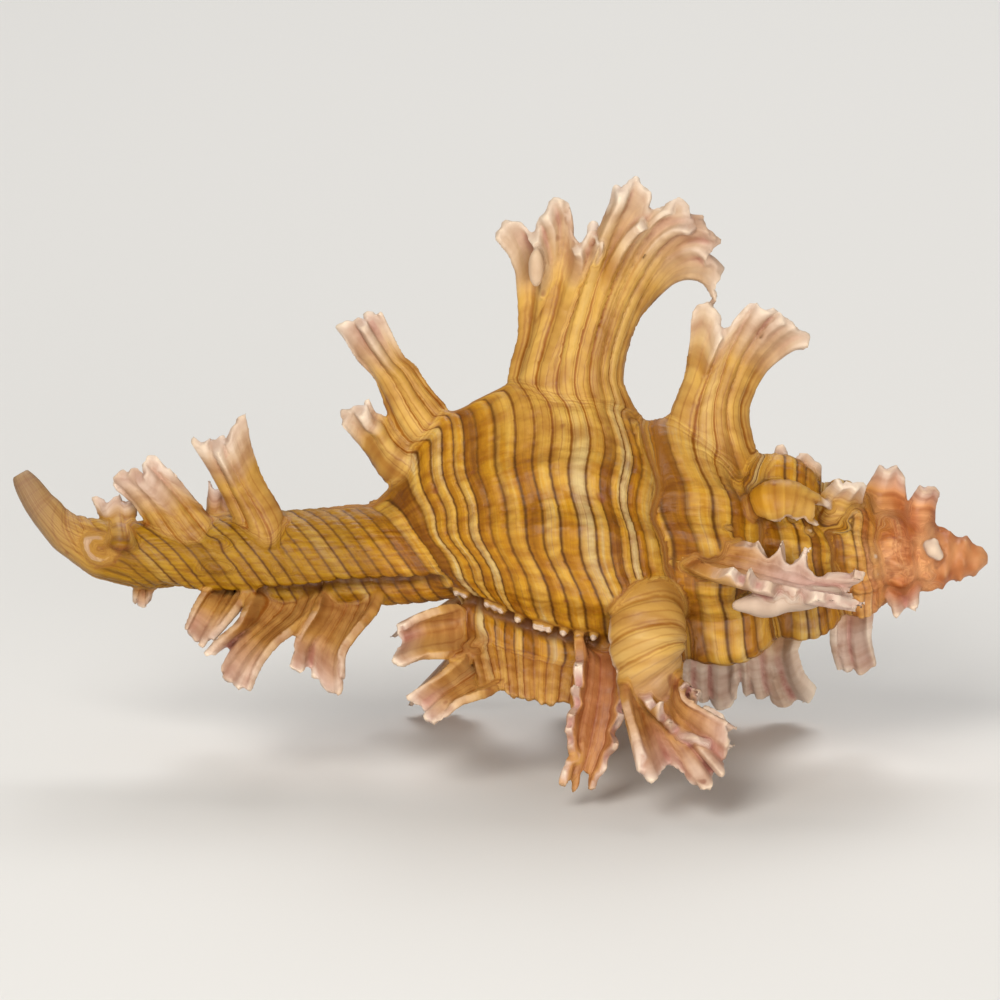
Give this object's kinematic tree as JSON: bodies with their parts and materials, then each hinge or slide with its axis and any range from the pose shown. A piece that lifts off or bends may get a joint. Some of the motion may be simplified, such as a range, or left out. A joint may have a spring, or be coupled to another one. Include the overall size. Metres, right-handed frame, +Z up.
{
  "type": "murex shell",
  "caption": "Branched murex sea shell: coiled whorls with a pointed spire, a long upturned front canal, an oval mouth, and rows of hollow leafy fronds that it stands on",
  "frame": {"origin": "centre of the bounding box's base; the shell stands on the tips of three groups of fronds at z = 0", "axes": "+X runs along the coil axis towards the pointed spire, +Z is up, and -Y is the side with the back of the last whorl"},
  "size_m": [0.1002, 0.0454, 0.0611],
  "materials": {
    "shell": "natural ribbed shell, satin"
  },
  "bodies": {
    "root": {"murex_shell": "shell"}
  },
  "joints": []
}
